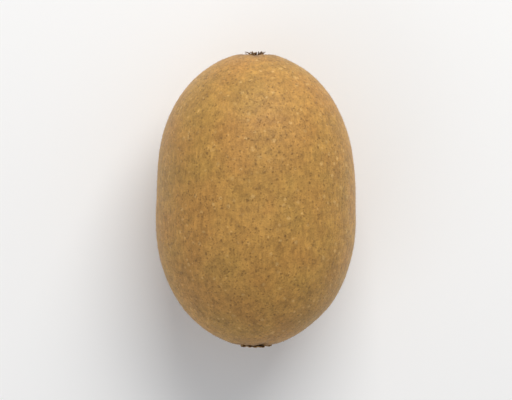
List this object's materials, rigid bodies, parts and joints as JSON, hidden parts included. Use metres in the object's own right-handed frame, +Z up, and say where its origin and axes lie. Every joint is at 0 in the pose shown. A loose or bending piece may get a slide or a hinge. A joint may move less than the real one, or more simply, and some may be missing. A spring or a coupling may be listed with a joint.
{
  "type": "golden kiwi fruit",
  "caption": "Whole golden kiwi fruit with fine brown skin, a dried calyx and dried styles, lying on its side to be set out as food or dressing for a scene.",
  "frame": {"origin": "on the small flat spot that the fruit rests on, below its axis and half way along it", "axes": "+Z up, +Y along the fruit from its stalk end to its flower end, +X across it"},
  "size_m": [0.0514, 0.0772, 0.0482],
  "materials": {
    "kiwi_skin": "satin",
    "skin_down": "matte",
    "dried_calyx": "matte",
    "dried_styles": "matte"
  },
  "bodies": {
    "root": {"fruit_body": "kiwi_skin", "dried_calyx": "dried_calyx", "dried_styles": "dried_styles"}
  },
  "joints": []
}
